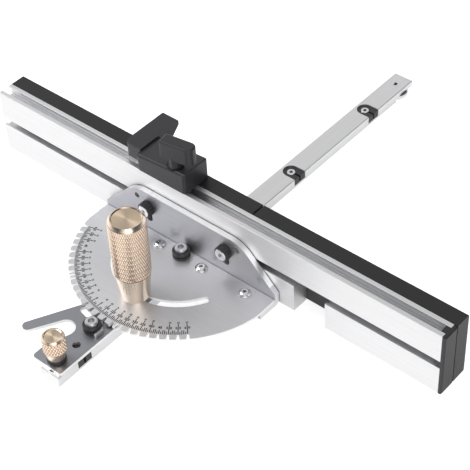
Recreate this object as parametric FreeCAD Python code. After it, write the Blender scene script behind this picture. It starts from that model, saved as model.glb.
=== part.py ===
import FreeCAD, Part
import math
import os
from FreeCAD import Vector

# Miter gauge for a table saw. Millimetres.
# Origin on the pivot axis at the underside of the bar, +Y along the bar away from the operator,
# +X to the operator's right, +Z up.

# Bar that runs in the table's slot
BAR_WIDTH = 19.0
BAR_HEIGHT = 9.5
BAR_LENGTH = 450.0
BAR_REACH_PAST_INDEX = 2.6
BAR_EDGE_BREAK = 0.4

# Expanding pieces that take up the side play of the bar
EXPANDER_COUNT = 3
EXPANDER_NEAR_INSET = 27.7
EXPANDER_FAR_INSET = 59.0
EXPANDER_SPACING = 104.5
EXPANDER_RADIUS = 7.0
EXPANDER_FIT = 0.1
EXPANDER_POCKET_DEPTH = 7.0
EXPANDER_RECESS = 0.9
EXPANDER_SLIT = 2.0
EXPANDER_SCREW_HEAD = 8.0
EXPANDER_SCREW_HEAD_HEIGHT = 3.2
EXPANDER_SCREW_SHANK = 4.0
EXPANDER_SCREW_BITE = 1.6
EXPANDER_SCREW_SOCKET = 3.0
EXPANDER_SOCKET_DEPTH = 1.8

# Washer under the far tip, which hooks below the lips of a T shaped table slot
TIP_INSET = 13.0
TIP_RELIEF_LENGTH = 25.0
TIP_RELIEF_HEIGHT = 4.0
TIP_WASHER_DIAMETER = 23.0
TIP_WASHER_THICKNESS = 3.2
TIP_SCREW_HEAD = 11.0
TIP_SCREW_SHANK = 6.0
TIP_SCREW_SOCKET = 4.0
TIP_SOCKET_DEPTH = 2.4
TIP_SCREW_SUNK = 0.3

# Short key slot in the top of the bar at its near end
KEY_SLOT_WIDTH = 6.0
KEY_SLOT_DEPTH = 2.5
KEY_SLOT_INSET = 1.7
KEY_SLOT_LENGTH = 9.0

# Common hardware
M6_SHANK = 6.0
RUNNING_GAP = 0.05
STUD_DEPTH = 7.0
STUD_FLOOR_GAP = 0.4
CAP_HEAD_DIAMETER = 10.0
CAP_HEAD_HEIGHT = 6.0
CAP_SOCKET = 5.0
CAP_SOCKET_DEPTH = 3.2
CAP_STANDS_PROUD = 2.9
COLLAR_DIAMETER = 14.5
COLLAR_HEIGHT = 6.5
COLLAR_GROOVE_WIDTH = 1.3
COLLAR_GROOVE_DEPTH = 0.8
COLLAR_COUNTERBORE_GAP = 0.2

# Index plate with its tooth, finger hook and window
INDEX_THICKNESS = 3.0
INDEX_RIGHT_EDGE = 9.6
INDEX_NEAR_REACH = 47.4
INDEX_FAR_REACH = 20.0
INDEX_LEFT_CORNER_X = -20.5
INDEX_CORNER_RADIUS = 3.0
INDEX_AXIS_X = -3.5
INDEX_SCREW_RIM_GAP = 8.0
INDEX_KNOB_SPACING = 38.0
INDEX_TRAVEL = 4.0
INDEX_SLOT_GAP = 0.3
FINGER_TIP_X = -45.0
FINGER_TIP_DROP = 28.0
FINGER_HALF_WIDTH = 4.5
FINGER_OUTER_ANGLE = 61.9
FINGER_INNER_ANGLE = 60.1
FINGER_GAP_X = -21.0
FINGER_GAP_DROP = 12.0
FINGER_GAP_RADIUS = 8.3
BODY_LEFT_ANGLE = 72.1
WINDOW_CORNERS = [(-25.6, 13.4), (-25.2, 7.8), (-15.4, 5.7), (-13.0, 11.0)]
WINDOW_RADIUS = 1.8
ACCESS_HOLE_X = -1.6
ACCESS_HOLE_DROP = 19.2
ACCESS_HOLE_DIAMETER = 6.6
TOOTH_SIDE_GAP = 0.15
TOOTH_LENGTH = 4.2
TOOTH_RIM_GAP = 0.4
TOOTH_BLOCK_RIGHT = 5.5
TOOTH_BLOCK_LENGTH = 9.0
TOOTH_COLLAR_GAP = 0.5

# Brass knob that locks the index plate
INDEX_KNOB_TOP_DIAMETER = 18.4
INDEX_KNOB_FOOT_DIAMETER = 14.0
INDEX_KNOB_HEIGHT = 22.5
INDEX_KNOB_CHAMFER = 1.2
INDEX_KNOB_DISH = 0.6
INDEX_KNOB_PARALLEL = 14.0
INDEX_WASHER_DIAMETER = 15.0
INDEX_WASHER_THICKNESS = 3.0

# Dial plate
DIAL_THICKNESS = 2.5
DIAL_RADIUS = 90.0
DIAL_SIDE_INSET = 1.0
DIAL_BACK_GAP = 0.3
DIAL_TURN = 15.0
STOP_STEP = 5.0
STOP_LAST = 60.0
STOP_EXTRA = 22.5
NOTCH_WIDTH = 2.9
NOTCH_DEPTH = 4.7
NOTCH_FLOOR_WIDTH = 1.5
NOTCH_ROUNDING = 1.2
NOTCH_LAND_SHARE = 0.42
ARC_SLOT_RADIUS = 53.3
ARC_SLOT_WIDTH = 6.5
ARC_SLOT_END = 61.5

# Bracket that carries the fence
BRACKET_THICKNESS = 4.8
BRACKET_BAR_GAP = 0.2
BRACKET_FENCE_GAP = 0.4
BRACKET_FOOT_FRONT = -10.0
BRACKET_BEND_RADIUS = 3.5
BRACKET_TOP = 55.0
BRACKET_SHOULDER_INSET = 33.5
BRACKET_SHOULDER_RADIUS = 25.0
BRACKET_SIDE_Z = 21.5
BRACKET_SIDE_RADIUS = 1.0
BOLT_Z = 40.0
BOLT_SLOT_GAP = 0.3
BOLT_SLOT_DROP = 11.2
FENCE_RISE = 3.5
SMALL_HOLE_INSET = 3.3
SMALL_HOLE_BOLT_SPACING = 11.8
SMALL_HOLE_Z = 47.0
SMALL_HOLE_DIAMETER = 5.0

# Button head screws that join the dial to the bracket
PLATE_SCREW_COUNT = 4
PLATE_SCREW_INSET = 22.4
PLATE_SCREW_Y = -1.5
PLATE_SCREW_HEAD = 10.5
PLATE_SCREW_HEAD_HEIGHT = 2.9
PLATE_SCREW_SHANK = 5.0
PLATE_SCREW_SOCKET = 3.0
PLATE_SOCKET_DEPTH = 1.6
PLATE_SCREW_RIM = 0.5

# Knobs that clamp the fence to the bracket
CLAMP_KNOB_DIAMETER = 13.4
CLAMP_KNOB_HEIGHT = 6.2
CLAMP_KNOB_FLUTES = 20
CLAMP_KNOB_FLUTE_DEPTH = 0.6
CLAMP_RIB_POINT = 0.35
CLAMP_SCREW_HEAD = 10.5
CLAMP_SCREW_HEAD_HEIGHT = 3.0
CLAMP_SCREW_SOCKET = 4.0
CLAMP_SOCKET_DEPTH = 2.0
CLAMP_SCREW_PROUD = 0.4
CLAMP_SCREW_BITE = 5.4
T_NUT_LENGTH = 16.0
T_NUT_THICKNESS = 4.5

# Handle
HANDLE_DIAMETER = 30.0
HANDLE_FOOT_DIAMETER = 22.4
HANDLE_HEIGHT = 80.0
HANDLE_CHAMFER = 2.5
HANDLE_TAPER_HEIGHT = 26.5
HANDLE_DISH = 0.8
HANDLE_STUD_REACH = 35.0

# Fence extrusion
FENCE_LENGTH = 450.0
FENCE_LEFT = -214.5
FENCE_FRONT = 13.0
FENCE_DEPTH = 15.0
FENCE_HEIGHT = 60.0
FENCE_LIFT = 0.5
FENCE_EDGE_BREAK = 0.4
TOP_SLOT_MOUTH = 7.0
TOP_SLOT_INSIDE = 11.4
TOP_SLOT_LIP = 1.9
TOP_SLOT_DEPTH = 7.2
SIDE_SLOT_MOUTH = 7.0
SIDE_SLOT_INSIDE = 12.0
SIDE_SLOT_LIP = 2.0
SIDE_SLOT_DEPTH = 8.4
CHAMBER_WALL = 2.2
BLADE_GAP_LEFT = 103.5
BLADE_GAP_RIGHT = 133.0

# Facing boards and end cap
BOARD_THICKNESS = 14.0
BOARD_LIFT = 1.2
BOARD_SEAM = 51.7
BOARD_SEAM_GAP = 0.6
BOARD_SEAM_RADIUS = 1.2
BOARD_EDGE_BREAK = 0.6
CAP_THICKNESS = 3.0
CAP_DROP = 0.5
CAP_BEVEL = 0.9
CAP_PLUG_LENGTH = 4.0
CAP_PLUG_GAP = 0.2

# Side stop on the top slot
STOP_BLOCK_LEFT = -53.5
STOP_BLOCK_RIGHT = -3.0
STOP_BLOCK_LEFT_HEIGHT = 15.5
STOP_BLOCK_RIGHT_HEIGHT = 19.5
STOP_BLOCK_DEPTH = 28.0
STOP_BLOCK_CORNER = 2.5
STOP_ARM_LEFT = -70.0
STOP_ARM_RIGHT = -53.0
STOP_ARM_FRONT = 17.5
STOP_ARM_CHIN = 4.0
STOP_ARM_LIFT = 1.5
STOP_ARM_HEIGHT = 17.5
STOP_ARM_REACH = 63.0
STOP_ARM_TIP = 3.4
STOP_ARM_SLOPE = 13.0
STOP_ARM_CORNER = 5.0
STOP_AXIS_X = -17.5
STOP_SEAT_DIAMETER = 15.0
STOP_SEAT_HEIGHT = 17.4
T_BOLT_HEAD_HEIGHT = 4.0
T_SLOT_GAP = 0.2

# Paddle knob of the stop, its blade turned a little from the fence's line
PADDLE_SHORT_REACH = 11.2
PADDLE_LONG_REACH = 18.0
PADDLE_WIDTH = 11.8
PADDLE_TOP = 42.0
PADDLE_UNDERSIDE = 27.2
PADDLE_TURN = 9.0
PADDLE_END_RADIUS = 1.8
PADDLE_NOSE_RADIUS = 5.4
PADDLE_EDGE_ROUNDING = 1.6
PADDLE_HUB_DIAMETER = 12.0
PADDLE_BORE_ROOF = 6.0

# Levels and places that follow from the sizes above
BAR_TOP = BAR_HEIGHT
INDEX_SCREW_Y = -DIAL_RADIUS - INDEX_SCREW_RIM_GAP
INDEX_KNOB_Y = INDEX_SCREW_Y - INDEX_KNOB_SPACING
INDEX_NEAR_EDGE = INDEX_SCREW_Y - INDEX_NEAR_REACH
INDEX_FAR_EDGE = INDEX_SCREW_Y + INDEX_FAR_REACH
BAR_NEAR_END = INDEX_NEAR_EDGE - BAR_REACH_PAST_INDEX
BAR_FAR_END = BAR_NEAR_END + BAR_LENGTH
TIP_STATION = BAR_FAR_END - TIP_INSET
KEY_SLOT_END = BAR_NEAR_END + KEY_SLOT_INSET
INDEX_TOP = BAR_TOP + INDEX_THICKNESS
BRACKET_BOTTOM = BAR_TOP + BRACKET_BAR_GAP
DIAL_BOTTOM = BRACKET_BOTTOM + BRACKET_THICKNESS
DIAL_TOP = DIAL_BOTTOM + DIAL_THICKNESS
BRACKET_BACK = FENCE_FRONT - BRACKET_FENCE_GAP
BRACKET_FRONT = BRACKET_BACK - BRACKET_THICKNESS
DIAL_SIDE_X = DIAL_RADIUS - DIAL_SIDE_INSET
DIAL_BACK_EDGE = BRACKET_FRONT - DIAL_BACK_GAP
BRACKET_SHOULDER_X = DIAL_SIDE_X - BRACKET_SHOULDER_INSET
SMALL_HOLE_X = BRACKET_SHOULDER_X - SMALL_HOLE_INSET
BOLT_X = SMALL_HOLE_X - SMALL_HOLE_BOLT_SPACING
FENCE_BOTTOM = BAR_TOP + FENCE_LIFT
FENCE_TOP = FENCE_BOTTOM + FENCE_HEIGHT
FENCE_BACK = FENCE_FRONT + FENCE_DEPTH
FENCE_MIDDLE = FENCE_FRONT + FENCE_DEPTH / 2.0
FENCE_RIGHT = FENCE_LEFT + FENCE_LENGTH
SEAT_RADIUS = M6_SHANK / 2.0 + RUNNING_GAP
TOOTH_TIP_Y = -DIAL_RADIUS - TOOTH_RIM_GAP


def cylinder(diameter, height, x, y, z):
    return Part.makeCylinder(diameter / 2.0, height, Vector(x, y, z))


def box(x0, x1, y0, y1, z0, z1):
    return Part.makeBox(x1 - x0, y1 - y0, z1 - z0, Vector(x0, y0, z0))


def hex_socket(across_flats, depth, x, y, z_top):
    """Hexagonal hollow that opens upwards at z_top."""
    radius = across_flats / math.sqrt(3.0)
    ring = [Vector(x + radius * math.cos(math.radians(60 * k)),
                   y + radius * math.sin(math.radians(60 * k)), z_top - depth) for k in range(6)]
    face = Part.Face(Part.makePolygon(ring + [ring[0]]))
    return face.extrude(Vector(0, 0, depth + 1.0))


def rounded_face(corners):
    """Flat face through corners given as (x, y, radius), each rounded by its tangent arc."""
    count = len(corners)
    joints = []
    for k in range(count):
        before = Vector(corners[k - 1][0], corners[k - 1][1], 0)
        here = Vector(corners[k][0], corners[k][1], 0)
        after = Vector(corners[(k + 1) % count][0], corners[(k + 1) % count][1], 0)
        radius = corners[k][2]
        to_before = (before - here).normalize()
        to_after = (after - here).normalize()
        if radius <= 0:
            joints.append((here, None, here))
            continue
        half = to_before.getAngle(to_after) / 2.0
        reach = radius / math.tan(half)
        middle = (to_before + to_after).normalize()
        centre = here + middle * (radius / math.sin(half))
        joints.append((here + to_before * reach, centre - middle * radius, here + to_after * reach))
    edges = []
    for k in range(count):
        start, crown, end = joints[k]
        if crown is not None:
            edges.append(Part.Arc(start, crown, end).toShape())
        following = joints[(k + 1) % count][0]
        if end.distanceToPoint(following) > 1e-6:
            edges.append(Part.LineSegment(end, following).toShape())
    return Part.Face(Part.Wire(edges))


def rounded_plate(corners, z, thickness):
    """Flat plate of the given outline that lies level, its underside at z."""
    face = rounded_face(corners)
    face.translate(Vector(0, 0, z))
    return face.extrude(Vector(0, 0, thickness))


def upright_plate(corners, y_back, thickness):
    """Plate of an outline in X and Z that stands up, its back at y_back."""
    face = rounded_face(corners)
    face.rotate(Vector(0, 0, 0), Vector(1, 0, 0), 90)
    face.translate(Vector(0, y_back, 0))
    return face.extrude(Vector(0, -thickness, 0))


def level_slot(width, x, y0, y1, z, height):
    """Slot cutter that runs along Y, with round ends centred at y0 and y1."""
    half = width / 2.0
    body = box(x - half, x + half, y0, y1, z, z + height)
    return body.fuse([cylinder(width, height, x, y0, z), cylinder(width, height, x, y1, z)])


def upright_slot(width, x, z0, z1, y, depth):
    """Slot cutter through an upright plate, with round ends centred at z0 and z1."""
    half = width / 2.0
    body = box(x - half, x + half, y, y + depth, z0, z1)
    ends = [Part.makeCylinder(half, depth, Vector(x, y, z), Vector(0, 1, 0)) for z in (z0, z1)]
    return body.fuse(ends)


def turned(profile, x, y):
    """Solid of revolution about a vertical axis from (radius, z) points, first and last on the axis."""
    points = [Vector(r, 0, z) for r, z in profile]
    face = Part.Face(Part.makePolygon(points + [points[0]]))
    solid = face.revolve(Vector(0, 0, 0), Vector(0, 0, 1), 360)
    solid.translate(Vector(x, y, 0))
    return solid


def upright_edges(solid, test):
    """Vertical edges of a solid whose place passes the test."""
    found = []
    for edge in solid.Edges:
        a = edge.Vertexes[0].Point
        b = edge.Vertexes[-1].Point
        if abs(a.x - b.x) < 1e-6 and abs(a.y - b.y) < 1e-6 and abs(a.z - b.z) > 1e-6 and test(a.x, a.y):
            found.append(edge)
    return found


def meeting_point(point_a, angle_a, point_b, angle_b):
    """Point where two lines cross, each given by a point and its angle from X in degrees."""
    ax, ay = math.cos(math.radians(angle_a)), math.sin(math.radians(angle_a))
    bx, by = math.cos(math.radians(angle_b)), math.sin(math.radians(angle_b))
    dx, dy = point_b[0] - point_a[0], point_b[1] - point_a[1]
    along = (dx * by - dy * bx) / (ax * by - ay * bx)
    return point_a[0] + ax * along, point_a[1] + ay * along


def cap_screw(x, y, seat, bottom):
    """Socket cap screw with its head resting at height seat."""
    head_top = seat + CAP_HEAD_HEIGHT
    radius = CAP_HEAD_DIAMETER / 2.0
    profile = [(0, bottom), (M6_SHANK / 2.0, bottom), (M6_SHANK / 2.0, seat), (radius, seat),
               (radius, head_top - 0.7), (radius - 0.7, head_top), (0, head_top)]
    return turned(profile, x, y).cut(hex_socket(CAP_SOCKET, CAP_SOCKET_DEPTH, x, y, head_top))


def collar(x, y, z):
    """Black guide collar with two ridges, counterbored for a socket cap screw."""
    outer = COLLAR_DIAMETER / 2.0
    inner = outer - COLLAR_GROOVE_DEPTH
    groove = z + (COLLAR_HEIGHT - COLLAR_GROOVE_WIDTH) / 2.0
    top = z + COLLAR_HEIGHT
    profile = [(0, z), (outer, z), (outer, groove), (inner, groove), (inner, groove + COLLAR_GROOVE_WIDTH),
               (outer, groove + COLLAR_GROOVE_WIDTH), (outer, top - 0.5), (outer - 0.5, top), (0, top)]
    seat = top + CAP_STANDS_PROUD - CAP_HEAD_HEIGHT
    hollow = cylinder(CAP_HEAD_DIAMETER + 2 * COLLAR_COUNTERBORE_GAP, COLLAR_HEIGHT, x, y, seat)
    bore = cylinder(M6_SHANK, COLLAR_HEIGHT + 2, x, y, z - 1)
    return turned(profile, x, y).cut(hollow).cut(bore), seat


def expander_outline(margin):
    """Outline shared by an expanding piece and its pocket, open towards the right side of the bar."""
    radius = EXPANDER_RADIUS + margin
    right = BAR_WIDTH / 2.0 + (1.0 if margin > 0 else 0.0)
    arc = Part.Arc(Vector(0, radius, 0), Vector(-radius, 0, 0), Vector(0, -radius, 0)).toShape()
    low = Part.LineSegment(Vector(0, -radius, 0), Vector(right, -radius, 0)).toShape()
    side = Part.LineSegment(Vector(right, -radius, 0), Vector(right, radius, 0)).toShape()
    high = Part.LineSegment(Vector(right, radius, 0), Vector(0, radius, 0)).toShape()
    return Part.Face(Part.Wire([arc, low, side, high]))


def expander_stations():
    """Places of the expanding pieces: one near the operator, the others towards the far end."""
    far = BAR_FAR_END - EXPANDER_FAR_INSET
    others = [far - EXPANDER_SPACING * k for k in range(EXPANDER_COUNT - 1)]
    return [BAR_NEAR_END + EXPANDER_NEAR_INSET] + others


def make_bar():
    half = BAR_WIDTH / 2.0
    bar = box(-half, half, BAR_NEAR_END, BAR_FAR_END, 0, BAR_HEIGHT)
    long_edges = [e for e in bar.Edges if e.Length > BAR_LENGTH - 1]
    bar = bar.makeChamfer(BAR_EDGE_BREAK, long_edges)
    floor = BAR_TOP - EXPANDER_POCKET_DEPTH
    for y in expander_stations():
        pocket = expander_outline(EXPANDER_FIT)
        pocket.translate(Vector(0, y, floor))
        bar = bar.cut(pocket.extrude(Vector(0, 0, EXPANDER_POCKET_DEPTH + 1)))
        bar = bar.cut(cylinder(EXPANDER_SCREW_SHANK, EXPANDER_SCREW_BITE, 0, y, floor - EXPANDER_SCREW_BITE))
    bar = bar.cut(box(-half - 1, half + 1, BAR_FAR_END - TIP_RELIEF_LENGTH, BAR_FAR_END + 1,
                      -1, TIP_RELIEF_HEIGHT))
    bar = bar.cut(tip_screw_body())
    for x, y in ((0, 0), (0, -ARC_SLOT_RADIUS), (INDEX_AXIS_X, INDEX_SCREW_Y), (INDEX_AXIS_X, INDEX_KNOB_Y)):
        bar = bar.cut(cylinder(2 * SEAT_RADIUS, STUD_DEPTH + 1, x, y, BAR_TOP - STUD_DEPTH))
    y0 = KEY_SLOT_END + KEY_SLOT_WIDTH / 2.0
    return bar.cut(level_slot(KEY_SLOT_WIDTH, 0, y0, y0 + KEY_SLOT_LENGTH, BAR_TOP - KEY_SLOT_DEPTH,
                              KEY_SLOT_DEPTH + 1))


def make_expanders():
    pieces = []
    floor = BAR_TOP - EXPANDER_POCKET_DEPTH
    height = EXPANDER_POCKET_DEPTH - EXPANDER_RECESS
    for y in expander_stations():
        face = expander_outline(0)
        face.translate(Vector(0, y, floor))
        piece = face.extrude(Vector(0, 0, height))
        slit = EXPANDER_SLIT / 2.0
        piece = piece.cut(box(0, BAR_WIDTH, y - slit, y + slit, floor - 1, BAR_TOP + 1))
        piece = piece.cut(cylinder(EXPANDER_SCREW_SHANK + 0.4, BAR_TOP, 0, y, floor - 1))
        piece = piece.cut(cylinder(EXPANDER_SCREW_HEAD + 0.2, BAR_TOP, 0, y,
                                   floor + height - EXPANDER_SCREW_HEAD_HEIGHT))
        pieces.append(piece)
    return Part.makeCompound(pieces)


def make_expander_screws():
    screws = []
    floor = BAR_TOP - EXPANDER_POCKET_DEPTH
    top = BAR_TOP - EXPANDER_RECESS
    seat = top - EXPANDER_SCREW_HEAD_HEIGHT
    head = EXPANDER_SCREW_HEAD / 2.0
    shank = EXPANDER_SCREW_SHANK / 2.0
    for y in expander_stations():
        profile = [(0, floor - EXPANDER_SCREW_BITE), (shank, floor - EXPANDER_SCREW_BITE), (shank, seat),
                   (head, seat), (head, top - 0.5), (head - 0.5, top), (0, top)]
        socket = hex_socket(EXPANDER_SCREW_SOCKET, EXPANDER_SOCKET_DEPTH, 0, y, top)
        screws.append(turned(profile, 0, y).cut(socket))
    return Part.makeCompound(screws)


def tip_screw_body():
    """Countersunk screw at the tip, also the cutter for its seat."""
    head = TIP_SCREW_HEAD / 2.0
    shank = TIP_SCREW_SHANK / 2.0
    rim = BAR_TOP - TIP_SCREW_SUNK
    bottom = TIP_RELIEF_HEIGHT - TIP_WASHER_THICKNESS
    profile = [(0, bottom), (shank, bottom), (shank, rim - (head - shank)), (head, rim), (head, BAR_TOP),
               (0, BAR_TOP)]
    return turned(profile, 0, TIP_STATION)


def make_tip_screw():
    return tip_screw_body().cut(hex_socket(TIP_SCREW_SOCKET, TIP_SOCKET_DEPTH, 0, TIP_STATION, BAR_TOP))


def make_tip_washer():
    bottom = TIP_RELIEF_HEIGHT - TIP_WASHER_THICKNESS
    radius = TIP_WASHER_DIAMETER / 2.0
    profile = [(0, bottom), (radius - 0.4, bottom), (radius, bottom + 0.4), (radius, TIP_RELIEF_HEIGHT - 0.4),
               (radius - 0.4, TIP_RELIEF_HEIGHT), (0, TIP_RELIEF_HEIGHT)]
    return turned(profile, 0, TIP_STATION).cut(
        cylinder(TIP_SCREW_SHANK, 2 * TIP_RELIEF_HEIGHT, 0, TIP_STATION, bottom - 1))


def index_outline():
    """Outline of the index plate, with its hooked finger on the left."""
    out = math.radians(FINGER_OUTER_ANGLE)
    along = (math.cos(out), math.sin(out))
    side = (-along[1], along[0])
    w = FINGER_HALF_WIDTH
    tip_y = INDEX_SCREW_Y - FINGER_TIP_DROP
    gap_y = INDEX_SCREW_Y - FINGER_GAP_DROP
    tip_outer = (FINGER_TIP_X + w * (side[0] - along[0]), tip_y + w * (side[1] - along[1]))
    tip_inner = (FINGER_TIP_X - w * (side[0] + along[0]), tip_y - w * (side[1] + along[1]))
    far_left = meeting_point(tip_outer, FINGER_OUTER_ANGLE, (0, INDEX_FAR_EDGE), 0)
    inner = math.radians(FINGER_INNER_ANGLE)
    left = math.radians(BODY_LEFT_ANGLE)
    r = FINGER_GAP_RADIUS
    touch_inner = (FINGER_GAP_X - r * math.sin(inner), gap_y + r * math.cos(inner))
    touch_left = (FINGER_GAP_X + r * math.sin(left), gap_y - r * math.cos(left))
    apex = meeting_point(touch_inner, FINGER_INNER_ANGLE, touch_left, BODY_LEFT_ANGLE)
    inner_end = meeting_point(touch_inner, FINGER_INNER_ANGLE, tip_inner, FINGER_OUTER_ANGLE - 90)
    shoulder = meeting_point(touch_left, BODY_LEFT_ANGLE, (INDEX_LEFT_CORNER_X, 0), 90)
    return [(INDEX_RIGHT_EDGE, INDEX_NEAR_EDGE, 1.5), (INDEX_RIGHT_EDGE, INDEX_FAR_EDGE, 1.0),
            (far_left[0], far_left[1], 1.0), (tip_outer[0], tip_outer[1], w - 0.3),
            (inner_end[0], inner_end[1], w - 0.4), (apex[0], apex[1], r),
            (shoulder[0], shoulder[1], 4.0), (INDEX_LEFT_CORNER_X, INDEX_NEAR_EDGE, INDEX_CORNER_RADIUS)]


def make_index_tooth():
    """Tooth that stands up beside the rim of the dial and points at the notch on the bar's line."""
    slope = (NOTCH_WIDTH - NOTCH_FLOOR_WIDTH) / 2.0 / NOTCH_DEPTH
    half = NOTCH_WIDTH / 2.0 - slope * (INDEX_TRAVEL - TOOTH_RIM_GAP) - TOOTH_SIDE_GAP
    root_y = TOOTH_TIP_Y - TOOTH_LENGTH
    root = half + slope * TOOTH_LENGTH
    end_y = root_y - TOOTH_BLOCK_LENGTH
    outline = [(half, TOOTH_TIP_Y, 0.3), (root, root_y, 0), (TOOTH_BLOCK_RIGHT, root_y, 0.8),
               (TOOTH_BLOCK_RIGHT, end_y, 0.8), (-root, end_y, 0), (-root, root_y, 0),
               (-half, TOOTH_TIP_Y, 0.3)]
    height = DIAL_TOP - 0.2 - INDEX_TOP
    tooth = rounded_plate(outline, INDEX_TOP, height)
    clear = COLLAR_DIAMETER + 2 * TOOTH_COLLAR_GAP
    path = level_slot(clear, INDEX_AXIS_X, INDEX_SCREW_Y - 2 * COLLAR_DIAMETER, INDEX_SCREW_Y,
                      INDEX_TOP, height)
    return tooth.cut(path)


def make_index_plate():
    plate = rounded_plate(index_outline(), BAR_TOP, INDEX_THICKNESS)
    width = M6_SHANK + 2 * INDEX_SLOT_GAP
    for y in (INDEX_SCREW_Y, INDEX_KNOB_Y):
        plate = plate.cut(level_slot(width, INDEX_AXIS_X, y - INDEX_TRAVEL, y, BAR_TOP - 1,
                                     INDEX_THICKNESS + 2))
    window = [(x, INDEX_SCREW_Y + y, WINDOW_RADIUS) for x, y in WINDOW_CORNERS]
    plate = plate.cut(rounded_plate(window, BAR_TOP - 1, INDEX_THICKNESS + 2))
    plate = plate.cut(cylinder(ACCESS_HOLE_DIAMETER, INDEX_THICKNESS + 2, ACCESS_HOLE_X,
                               INDEX_SCREW_Y - ACCESS_HOLE_DROP, BAR_TOP - 1))
    return plate.fuse(make_index_tooth()).removeSplitter()


def make_index_knob():
    bottom = INDEX_TOP + INDEX_WASHER_THICKNESS
    top = bottom + INDEX_KNOB_HEIGHT
    r = INDEX_KNOB_TOP_DIAMETER / 2.0
    foot = INDEX_KNOB_FOOT_DIAMETER / 2.0
    face = r - INDEX_KNOB_CHAMFER
    profile = [(0, bottom), (foot - 0.5, bottom), (foot, bottom + 0.5), (r, top - INDEX_KNOB_PARALLEL),
               (r, top - INDEX_KNOB_CHAMFER), (face, top), (face - 0.8, top),
               (face - 1.6, top - INDEX_KNOB_DISH), (0, top - INDEX_KNOB_DISH)]
    return turned(profile, INDEX_AXIS_X, INDEX_KNOB_Y).cut(
        cylinder(M6_SHANK, INDEX_KNOB_HEIGHT * 0.6, INDEX_AXIS_X, INDEX_KNOB_Y, bottom))


def make_index_stud():
    bottom = BAR_TOP - STUD_DEPTH + STUD_FLOOR_GAP
    top = INDEX_TOP + INDEX_WASHER_THICKNESS + INDEX_KNOB_HEIGHT * 0.6
    return cylinder(M6_SHANK, top - bottom, INDEX_AXIS_X, INDEX_KNOB_Y, bottom)


def make_index_washer():
    r = INDEX_WASHER_DIAMETER / 2.0
    top = INDEX_TOP + INDEX_WASHER_THICKNESS
    profile = [(0, INDEX_TOP), (r, INDEX_TOP), (r, top - 0.5), (r - 0.5, top), (0, top)]
    return turned(profile, INDEX_AXIS_X, INDEX_KNOB_Y).cut(
        cylinder(2 * SEAT_RADIUS, INDEX_WASHER_THICKNESS + 2, INDEX_AXIS_X, INDEX_KNOB_Y, INDEX_TOP - 1))


def stop_angles():
    """Angles of the dial's stops: every step to each side, and one extra pair."""
    steps = int(round(STOP_LAST / STOP_STEP))
    return sorted([STOP_STEP * k for k in range(-steps, steps + 1)] + [-STOP_EXTRA, STOP_EXTRA])


def notch_cutter():
    """V notch at the rim towards -Y, with a narrow flat floor."""
    top = NOTCH_WIDTH / 2.0
    floor = NOTCH_FLOOR_WIDTH / 2.0
    root = -DIAL_RADIUS + NOTCH_DEPTH
    slope = (top - floor) / NOTCH_DEPTH
    reach = 2.0
    wide = top + slope * reach
    corners = [(-wide, -DIAL_RADIUS - reach, 0), (wide, -DIAL_RADIUS - reach, 0), (floor, root, 0),
               (-floor, root, 0)]
    return rounded_plate(corners, DIAL_BOTTOM - 1, DIAL_THICKNESS + 2)


def arc_slot(radius, width, half_angle, z, height):
    """Curved slot about the pivot, centred on -Y."""
    ring = cylinder(2 * radius + width, height, 0, 0, z).cut(cylinder(2 * radius - width, height, 0, 0, z))
    a = math.radians(half_angle)
    far = 3 * radius
    wedge = [Vector(0, 0, z), Vector(-far * math.sin(a), -far * math.cos(a), z), Vector(-far, -far, z),
             Vector(far, -far, z), Vector(far * math.sin(a), -far * math.cos(a), z)]
    sector = Part.Face(Part.makePolygon(wedge + [wedge[0]])).extrude(Vector(0, 0, height))
    ends = [cylinder(width, height, s * radius * math.sin(a), -radius * math.cos(a), z) for s in (-1, 1)]
    return ring.common(sector).fuse(ends)


def crown_rounding(px, py):
    """Rounding of the tooth corner at a point of the rim, held to a share of its land."""
    at = math.degrees(math.atan2(-px, -py)) - DIAL_TURN
    own, next_one = sorted(abs(at - stop) for stop in stop_angles())[:2]
    land = math.radians(own + next_one) * DIAL_RADIUS - NOTCH_WIDTH
    return round(min(NOTCH_ROUNDING, NOTCH_LAND_SHARE * land), 3)


def round_crowns(dial):
    """Round the tooth corners beside the notches, the narrow teeth with their own radius."""
    def crowns(shape):
        on_rim = upright_edges(shape, lambda px, py: abs(math.hypot(px, py) - DIAL_RADIUS) < 0.01
                               and abs(px) < DIAL_SIDE_X - 0.5)
        return [(e, crown_rounding(e.Vertexes[0].Point.x, e.Vertexes[0].Point.y)) for e in on_rim]
    for radius in sorted(set(rounding for edge, rounding in crowns(dial))):
        dial = dial.makeFillet(radius, [edge for edge, rounding in crowns(dial) if rounding == radius])
    return dial


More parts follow.
